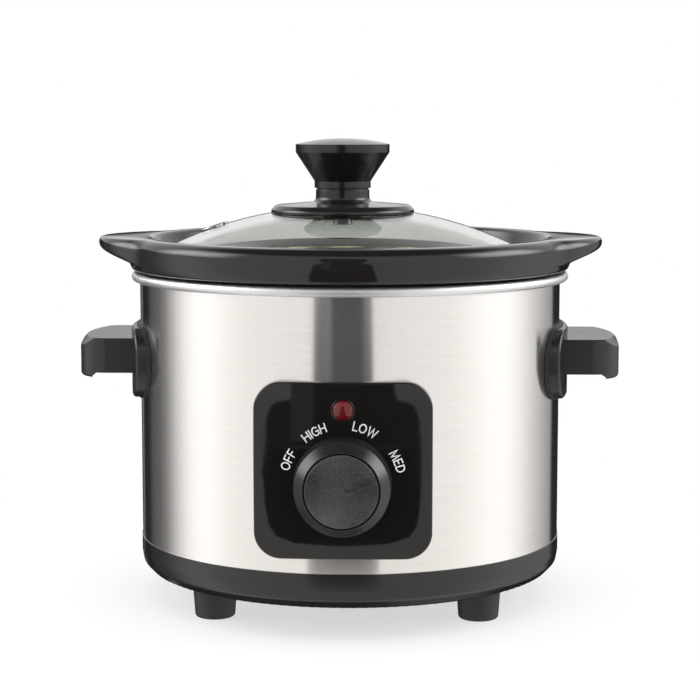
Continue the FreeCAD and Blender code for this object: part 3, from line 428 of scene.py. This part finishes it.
def crockReach(angle):                                    # plan radius of the rim, lugs on the X axis
    look = crockSet
    turn = abs((angle + math.pi / 2) % math.pi - math.pi / 2)
    span = look["rim"] + look["neck"]
    near = look["nose"] + look["neck"]
    east = (span ** 2 - near ** 2 + look["noseAt"] ** 2) / (2 * look["noseAt"])
    north = math.sqrt(span ** 2 - east ** 2)
    joins = math.atan2(look["nose"] * north / near,
                       look["noseAt"] + look["nose"] * (east - look["noseAt"]) / near)
    if turn >= math.atan2(north, east):
        return look["rim"]
    along = Vector((math.cos(turn), math.sin(turn)))
    centre, radius = Vector((east, north)), look["neck"]
    if turn < joins:
        centre, radius = Vector((look["noseAt"], 0)), look["nose"]
    middle = along.dot(centre)
    across = math.sqrt(max(radius ** 2 - centre.length_squared + middle ** 2, 0.0))
    return middle + across if turn < joins else middle - across


def crockSection(reach):                                  # inside, rim or lug, then outside down to the floor
    look = crockSet
    rim, top, seat = look["rim"], look["top"], look["seat"]
    grown = min(max((reach - rim) / look["lug"], 0.0), 1.0)
    topRound = look["rimRound"] + (look["lugRound"] - look["rimRound"]) * grown
    lip = [(91.5, top, 2.6), (reach, top, topRound),
           (reach, look["rootZ"] + (reach - rim) * look["rise"], look["tipRound"] * min(grown * 3, 1)),
           (rim, look["rootZ"], look["rootRound"] * min(grown * 2, 1)),
           (rim - 1.0, seat + 1.4, 3.0), (rim - 4.6, seat, 2.4), (79.5, seat, 1.2)]
    return softPath(crockInside + lip + crockOutside, 7)


def makeCrock():
    count = crockSet["columns"]
    columns = []
    for step in range(count):
        angle = 2 * math.pi * step / count
        east, north = math.cos(angle), math.sin(angle)
        columns.append([(spot.x * mm * east, potY + spot.x * mm * north, spot.y * mm)
                        for spot in crockSection(crockReach(angle))])
    rings = [list(ring) for ring in zip(*columns)]
    points, faces = skinned(rings)
    return addPiece("crockGlazed", "crock", "glazeBlack", points, faces,
                    ("crock", "crock_rim", "crock_floor"), "glaze_black", 60.0)


makeCrock()
print("crock lofted")


# handle gaskets with eased edges, and the ground edge of the glass lid
edgeSet = {"reach": 82.5, "low": 159.6, "high": 162.1, "clear": 0.02, "thick": 0.14, "round": 0.05,
           "columns": 240}
for side in ("left", "right"):
    softened(side + "Gasket", "heating_base", "handle_gasket_" + side, 0.35, 2)


def makeEdge():                                           # thin ground band round the rim of the glass
    look = edgeSet
    low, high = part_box("lid_knob")
    middle = (low.x + high.x) / 2
    inner, outer = look["reach"] + look["clear"], look["reach"] + look["thick"]
    section = softPath([(inner, look["low"]), (outer, look["low"], look["round"]),
                        (outer, look["high"], look["round"]), (inner, look["high"])], 3)
    section.append(section[0])
    turns = [2 * math.pi * step / look["columns"] for step in range(look["columns"])]
    rings = [[(middle + spot.x * mm * math.cos(turn), potY + spot.x * mm * math.sin(turn), spot.y * mm)
              for turn in turns] for spot in section]
    return addPiece("lidGroundEdge", "lid", "groundEdge", *skinned(rings))


makeEdge()
print("trim eased")


# control panel: a rounded square with a domed face, sides running back to the shell
panelSet = {"half": 37.8, "corner": 11.5, "middleZ": 74.4, "crown": 316.0, "edge": 0.7, "edgeSteps": 5,
            "shell": 97.32, "cornerSteps": 14, "sideSteps": 22, "grid": 2.2, "backGrid": 4.0, "strip": 0.3,
            "holeSteps": 48, "holes": {"indicator_lens": 4.4, "dial": 4.7}}


def panelFace(east, up):                                  # row-frame Y of the panel's crown, in metres
    crown = panelSet["crown"] * mm
    return dialAxis.y + crown - math.sqrt(crown ** 2 - east ** 2 - (up - panelSet["middleZ"] * mm) ** 2)


def panelEdge(inset):                                     # the outline, drawn in by some millimetres
    half, corner = panelSet["half"] - inset, panelSet["corner"] - inset
    straight = half - corner
    edge = []
    for quarter in range(4):
        turn = quarter * math.pi / 2
        side = Vector((math.cos(turn), math.sin(turn)))
        ahead = Vector((-side.y, side.x))
        for step in range(panelSet["sideSteps"]):
            edge.append(side * half + ahead * straight * (2 * step / panelSet["sideSteps"] - 1))
        for step in range(panelSet["cornerSteps"]):
            swing = math.pi / 2 * step / panelSet["cornerSteps"]
            bend = side * math.cos(swing) + ahead * math.sin(swing)
            edge.append((side + ahead) * straight + bend * corner)
    return [(point.x * mm, (point.y + panelSet["middleZ"]) * mm) for point in edge]


def filled(outline, holes, grid):                         # triangles across an outline with round holes
    plan = [Vector(point) for point in outline]
    loops = [len(outline)]
    for hole in holes:
        plan += [Vector(point) for point in hole]
        loops.append(len(hole))
    edges, first = [], 0
    for count in loops:
        edges += [(first + step, first + (step + 1) % count) for step in range(count)]
        first += count
    low = panelSet["middleZ"] - panelSet["half"]
    rows = int(2 * panelSet["half"] / grid)
    facing = [(Vector(hole[0]), Vector(hole[len(hole) // 2])) for hole in holes]
    middles = [((first + last) / 2, (first - last).length / 2) for first, last in facing]
    inner = Vector((panelSet["half"] - 1.2 * grid, panelSet["half"] - 1.2 * grid)) * mm
    for row in range(rows + 1):
        for column in range(rows + 1):
            spot = Vector((-panelSet["half"] + (column + 0.5 * (row % 2)) * grid, low + row * grid)) * mm
            across = Vector((abs(spot.x), abs(spot.y - panelSet["middleZ"] * mm)))
            over = across - inner + Vector((panelSet["corner"], panelSet["corner"])) * mm
            outside = max(over.x, 0.0) ** 2 + max(over.y, 0.0) ** 2 > (panelSet["corner"] * mm) ** 2
            clear = all((spot - middle).length > reach + 0.6 * grid * mm for middle, reach in middles)
            if clear and not outside:
                plan.append(spot)
    spots, _, sides = delaunay_2d_cdt(plan, edges, [], 1, 1e-7)[:3]
    kept = []
    for side in sides:
        centre = sum((spots[corner] for corner in side), Vector((0, 0))) / len(side)
        if all((centre - middle).length > reach for middle, reach in middles):
            kept.append(list(side))
    return [tuple(spot) for spot in spots], kept


def makePanel():
    spots = {"indicator_lens": sum(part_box("indicator_lens"), Vector()) / 2, "dial": dialAxis}
    holes = []
    for name, reach in panelSet["holes"].items():
        turns = [2 * math.pi * step / panelSet["holeSteps"] for step in range(panelSet["holeSteps"])]
        spot, radius = spots[name], reach * mm
        holes.append([(spot.x + radius * math.cos(turn), spot.z + radius * math.sin(turn)) for turn in turns])
    points, faces = [], []

    def add(newPoints, newFaces):
        first = len(points)
        points.extend(newPoints)
        faces.extend([[first + corner for corner in face] for face in newFaces])

    def shellFace(east):                                  # row-frame Y of the shell behind the panel
        return potY - math.sqrt((panelSet["shell"] * mm) ** 2 - east ** 2)

    edge = panelSet["edge"]
    plan, sides = filled(panelEdge(edge + panelSet["strip"]), holes, panelSet["grid"])
    add([(east, panelFace(east, up), up) for east, up in plan], sides)
    rings = [[(east, panelFace(east, up), up) for east, up in panelEdge(edge + panelSet["strip"])]]
    for step in range(panelSet["edgeSteps"] + 1):
        turn = math.pi / 2 * step / panelSet["edgeSteps"]
        rings.append([(east, panelFace(east, up) + edge * (1 - math.cos(turn)) * mm, up)
                      for east, up in panelEdge(edge * (1 - math.sin(turn)))])
    last = rings[-1]
    for step in range(1, 4):
        rings.append([(east, front + (shellFace(east) - front) * step / 3, up) for east, front, up in last])
    add(*skinned(rings))
    plan, sides = filled(panelEdge(0.0), holes, panelSet["backGrid"])
    add([(east, shellFace(east), up) for east, up in plan], sides)
    for hole in holes:
        add(*skinned([[(east, panelFace(east, up), up) for east, up in hole],
                      [(east, shellFace(east), up) for east, up in hole]]))
    piece = addPiece("controlPanel", "heating_base", "panelBlack", points, faces, ("control_panel",),
                     "panel_black", 34.0)
    mesh = piece.data
    centre = Vector((0, dialAxis.y + panelSet["crown"] * mm, panelSet["middleZ"] * mm))
    straight, corner = (panelSet["half"] - panelSet["corner"]) * mm, (panelSet["corner"] - edge) * mm
    normals = [Vector(normal.vector) for normal in mesh.corner_normals]
    for face in mesh.polygons:
        if face.normal.y < -0.98:                         # the dome takes its true normals
            for loop in face.loop_indices:
                spot = mesh.vertices[mesh.loops[loop].vertex_index].co
                over = (abs(spot.x) - straight, abs(spot.z - centre.z) - straight)
                if max(over[0], 0.0) ** 2 + max(over[1], 0.0) ** 2 <= (corner + 1e-6) ** 2:
                    normals[loop] = (spot - centre).normalized()
    mesh.normals_split_custom_set(normals)
    return piece


# setting words on the crowned panel: strokes on a unit-high letter, each turned away from the dial
wordSet = {"words": {"OFF": -66.0, "HIGH": -28.5, "LOW": 22.0, "MED": 67.0}, "ring": 25.2, "high": 3.5,
           "stroke": 0.56, "gap": 1.02, "lift": 0.05, "ink": 0.04}


def bowl(centre, wide, high, start, end, count=18):       # part of an oval, angles in degrees
    turns = [math.radians(start + (end - start) * step / count) for step in range(count + 1)]
    return [(centre + wide * math.cos(turn), 0.5 + high * math.sin(turn)) for turn in turns]


letters = {
    "O": (0.80, [bowl(0.40, 0.40, 0.5, 0, 360, 36)]),
    "F": (0.50, [[(0, 0), (0, 1), (0.50, 1)], [(0, 0.50), (0.44, 0.50)]]),
    "H": (0.66, [[(0, 0), (0, 1)], [(0.66, 0), (0.66, 1)], [(0, 0.51), (0.66, 0.51)]]),
    "I": (0.0, [[(0, 0), (0, 1)]]),
    "G": (0.72, [bowl(0.40, 0.40, 0.5, 48, 318, 30) + [(0.72, 0.14), (0.72, 0.48), (0.45, 0.48)]]),
    "L": (0.47, [[(0, 1), (0, 0), (0.47, 0)]]),
    "W": (1.06, [[(0, 1), (0.27, 0), (0.53, 1), (0.79, 0), (1.06, 1)]]),
    "M": (0.86, [[(0, 0), (0.07, 1), (0.43, 0.08), (0.79, 1), (0.86, 0)]]),
    "E": (0.49, [[(0.49, 0), (0, 0), (0, 1), (0.49, 1)], [(0, 0.51), (0.43, 0.51)]]),
    "D": (0.68, [[(0, 0), (0, 1)] + bowl(0.22, 0.46, 0.5, 90, -90) + [(0, 0)]]),
}


def ribbon(path, wide):                                   # both edges of a stroke, mitred at its corners
    spots = [Vector(spot) for spot in path]
    ring = (spots[0] - spots[-1]).length < 1e-6
    if not ring:
        spots[0] += (spots[0] - spots[1]).normalized() * wide / 2
        spots[-1] += (spots[-1] - spots[-2]).normalized() * wide / 2
    sides = []
    for place, spot in enumerate(spots):
        before = spots[place - 1] if place else (spots[-2] if ring else None)
        after = spots[place + 1] if place < len(spots) - 1 else (spots[1] if ring else None)
        ways = [(spot - before).normalized()] if before else []
        ways += [(after - spot).normalized()] if after else []
        along = sum(ways, Vector((0, 0))).normalized()
        out = Vector((-along.y, along.x)) * wide / 2 / max(along.dot(ways[0]), 0.42)
        sides.append((spot + out, spot - out))
    return sides


def makeWords():
    points, faces = [], []
    ring, high = wordSet["ring"] * mm, wordSet["high"]
    for word, heading in wordSet["words"].items():
        long = sum(letters[letter][0] * high for letter in word) + wordSet["gap"] * (len(word) - 1)
        along = -long / 2
        for letter in word:
            wide, strokes = letters[letter]
            turn = math.radians(heading) + (along + wide * high / 2) * mm / ring
            along += wide * high + wordSet["gap"]
            for stroke in strokes:
                first = len(points)
                route = [((east - wide / 2) * high, (up - 0.5) * high) for east, up in stroke]
                sides = ribbon(route, wordSet["stroke"])
                for left, right in sides:
                    for spot, lift in ((left, 1), (right, 1), (right, 0), (left, 0)):
                        reach = ring + spot.y * mm
                        east = dialAxis.x + reach * math.sin(turn) + spot.x * mm * math.cos(turn)
                        up = dialAxis.z + reach * math.cos(turn) - spot.x * mm * math.sin(turn)
                        proud = wordSet["lift"] - wordSet["ink"] * (1 - lift)
                        points.append((east, panelFace(east, up) - proud * mm, up))
                for step in range(len(sides) - 1):
                    here, there = first + 4 * step, first + 4 * step + 4
                    for edge, after in ((0, 1), (1, 2), (2, 3), (3, 0)):
                        faces.append((here + edge, here + after, there + after, there + edge))
                faces += [tuple(range(first, first + 4)), tuple(range(len(points) - 4, len(points)))]
    words = addPiece("settingWords", "heating_base", "printWhite", points, faces)
    words.visible_glossy = False                          # keeps white flecks off the dial's ring
    return words


# pilot lamp: a thin bezel round the CAD lens
bezelSet = {"middle": 4.75, "tube": 0.32, "proud": 0.05, "sides": 16, "columns": 96}


def makeBezel():                                          # small torus facing -Y
    look = bezelSet
    low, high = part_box("indicator_lens")
    middle = (low + high) / 2
    front = panelFace(middle.x, middle.z) - look["proud"] * mm
    around = [2 * math.pi * column / look["columns"] for column in range(look["columns"])]
    rings = []
    for step in range(look["sides"] + 1):
        turn = 2 * math.pi * step / look["sides"]
        reach = (look["middle"] + look["tube"] * math.cos(turn)) * mm
        rings.append([(middle.x + reach * math.sin(swing), front - look["tube"] * mm * math.sin(turn),
                       middle.z + reach * math.cos(swing)) for swing in around])
    return addPiece("lampBezel", "heating_base", "panelBlack", *skinned(rings))


makePanel()
makeWords()
makeBezel()
print("panel marked")


# stage: pale floor, white surround, side softboxes and dark flags that only reflections see
stageSet = {"fill": 0.70, "sideLight": 5.0, "topLight": 7.0, "floor": 0.92, "fadeFrom": 0.02, "fadeTo": 0.30,
            "fadeBase": 0.62, "glow": 5.0, "ceiling": 0.94, "dim": 0.85, "top": 1.3, "half": 4.0,
            "flagSteps": 12}
walls = [                                                 # azimuth from the camera and level
    (-180, 0.02), (-161, 0.02), (-160, 0.34), (-158.5, 0.34), (-157.5, 0.02), (-144, 0.02), (-139, 0.085),
    (-126, 0.15), (-119, 0.26), (-112.5, 0.49), (-106.6, 0.75), (-101, 0.97), (-96, 1.14), (-87, 1.25),
    (-79, 1.21), (-70, 1.10), (-50, 1.04), (-20, 0.96), (10, 0.88), (28, 0.965), (55, 1.06), (70, 1.13),
    (87, 1.24), (96, 1.20), (107, 1.01), (119, 0.74), (135, 0.45), (143, 0.36), (145.5, 0.02), (180, 0.02)]


def makeWorld():                                          # walls by azimuth, paler above, a dark ceiling
    world = bpy.data.worlds.new("studio")
    world.use_nodes = True
    bpy.context.scene.world = world
    tree = world.node_tree
    tree.nodes.clear()
    wire = Wire(tree)
    way = wire.node("SeparateXYZ", {}, {0: wire.node("TexCoord", out=0)})
    turn = wire.maths("ARCTAN2", way.out("X"), way.out("Y") * -1.0) * (180 / math.pi) - cameraSet["round"]
    up = way.out("Z")
    top = stageSet["top"]
    stops = []
    for angle, level in walls:
        green, blue = (0.985, 0.975) if abs(angle) > 70 else (0.975, 0.94)    # warmer in front
        stops.append(((angle + 180) / 360, (level / top, level / top * green, level / top * blue, 1.0)))
    low = wire.node("ValToRGB", {"stops": stops}, {0: turn.clamp(-180, 180)})
    side = wire.maths("ABSOLUTE", turn)
    high = (up - side.ease(95.0, 125.0) * side.ease(166.0, 150.0) * 0.10).ease(0.03, 0.11)
    beside = wire.maths("ABSOLUTE", side - 92.0).ease(36.0, 8.0)
    softbox = beside * wire.maths("ABSOLUTE", up - 0.44).ease(0.36, 0.08)
    above = 1.0 - up.ease(0.60, 0.86) * stageSet["ceiling"] + softbox * stageSet["glow"]
    mirrored = (1.0 - high + high * above) * top
    path = wire.node("LightPath", out=0)
    through = path.out("Is Transmission Ray") * (1.0 - path)
    glossy = path.out("Is Glossy Ray") * (1.0 - path) * (1.0 - through)
    dull = (1.0 - path - through - glossy) * stageSet["fill"]
    plain = path + through * (1.0 - up.ease(0.20, 0.55) * stageSet["dim"])
    sky = wire.node("Background", {}, {"Color": glossy.mix(grey(1.0), high.mix(low, grey(1.0 / top))),
                                       "Strength": plain + glossy * mirrored + dull})
    end = tree.nodes.new("ShaderNodeOutputWorld")
    tree.links.new(sky.socket, end.inputs["Surface"])


def makeFloor():
    mesh = bpy.data.meshes.new("floor")
    half = stageSet["half"]
    corners = [(-half, -half, 0), (half, -half, 0), (half, half, 0), (-half, half, 0)]
    mesh.from_pydata(corners, [], [(0, 1, 2, 3)])
    floor = bpy.data.objects.new("floor", mesh)
    bpy.context.scene.collection.objects.link(floor)
    material, wire, shader = newFinish("paleFloor")
    feed(wire, shader, colour=grey(stageSet["floor"]), rough=0.8)
    shader.inputs["Specular IOR Level"].default_value = 0.0
    path = wire.node("LightPath", out=0)
    away = wire.node("VectorMath", {"operation": "LENGTH"}, {0: place(wire)}, 1)
    fade = away.ease(stageSet["fadeFrom"], stageSet["fadeTo"], stageSet["fadeBase"], 1.0) * path
    glow = wire.node("Emission", {}, {"Color": grey(1.0), "Strength": 1.0})
    both = wire.node("MixShader", {}, {0: fade, 1: Wire(wire.tree, shader.outputs[0]), 2: glow})
    end = wire.tree.nodes["Material Output"]
    wire.tree.links.new(both.socket, end.inputs["Surface"])
    mesh.materials.append(material)
    floor.visible_glossy = False                          # the walls' levels carry on below instead


def addLamp(name, power, wide, high, spot, aim):
    data = bpy.data.lights.new(name, "AREA")
    data.shape = "RECTANGLE"
    data.size, data.size_y = wide, high
    data.energy = power
    lamp = bpy.data.objects.new(name, data)
    lamp.location = spot
    lamp.rotation_euler = (Vector(aim) - Vector(spot)).to_track_quat("-Z", "Y").to_euler()
    bpy.context.scene.collection.objects.link(lamp)
    lamp.visible_glossy = False


flags = {                                                 # rows of height and azimuth span
    "frontFlag": {"away": 0.96, "level": 0.07, "rows": [
        (0.0015, -18.0, 11.2), (0.04, -17.9, 11.0), (0.067, -17.9, 10.9), (0.10, -17.6, 10.6),
        (0.12, -17.2, 10.2), (0.133, -16.6, 9.6), (0.141, -15.6, 8.7), (0.146, -14.3, 7.5), (0.15, -13.3, 6.6),
        (0.19, -12.4, 6.2), (0.212, -12.4, 6.2), (0.222, -14.4, 8.2), (0.60, -14.4, 8.2)]},
    "stepFlag": {"away": 0.95, "level": 0.24, "rows": [(0.02, -13.2, -9.0), (0.25, -13.2, -9.0)]},
}
floorFlag = {"height": 0.0015, "level": 0.05, "edge": [   # outline of a card lying on the floor, in metres
    (-0.003, -0.184), (0.032, -0.188), (0.048, -0.199), (0.060, -0.226), (0.076, -0.291), (0.103, -0.411),
    (0.215, -0.926), (-0.268, -0.913), (-0.151, -0.478), (-0.127, -0.407), (-0.091, -0.288), (-0.070, -0.225),
    (-0.056, -0.198), (-0.039, -0.187)]}


def roundPot(angle, away):                                # plan spot at an azimuth from the camera side
    turn = math.radians(cameraSet["round"] + angle)
    return away * math.sin(turn), potY - away * math.cos(turn)


def addCard(name, points, faces, level):                  # seen by reflections alone
    mesh = bpy.data.meshes.new(name)
    mesh.from_pydata(points, [], faces)
    card = bpy.data.objects.new(name, mesh)
    bpy.context.scene.collection.objects.link(card)
    material, wire, shader = newFinish(name)
    feed(wire, shader, colour=grey(level), rough=1.0)
    shader.inputs["Specular IOR Level"].default_value = 0.0
    mesh.materials.append(material)
    card.visible_camera = card.visible_diffuse = card.visible_shadow = card.visible_transmission = False


def addFlag(name, flag):                                  # upright curved card round the crock's axis
    shares = [step / stageSet["flagSteps"] for step in range(stageSet["flagSteps"] + 1)]
    rings = [[roundPot(first + (last - first) * share, flag["away"]) + (height,) for share in shares]
             for height, first, last in flag["rows"]]
    addCard(name, *skinned(rings, False), flag["level"])


def addFloorFlag():
    points = [(east, north, floorFlag["height"]) for east, north in floorFlag["edge"]]
    addCard("floorFlag", points, [list(range(len(points)))], floorFlag["level"])


makeWorld()
makeFloor()
addLamp("leftBox", stageSet["sideLight"], 0.7, 0.7, (-0.95, potY, 0.50), (0, potY, 0.1))
addLamp("rightBox", stageSet["sideLight"], 0.7, 0.7, (0.95, potY, 0.50), (0, potY, 0.1))
addLamp("topBox", stageSet["topLight"], 1.2, 1.2, (0, -0.10, 1.2), (0, potY, 0.1))
for name, flag in flags.items():
    addFlag(name, flag)
addFloorFlag()
bpy.context.scene.view_settings.view_transform = "Standard"
print("stage set")
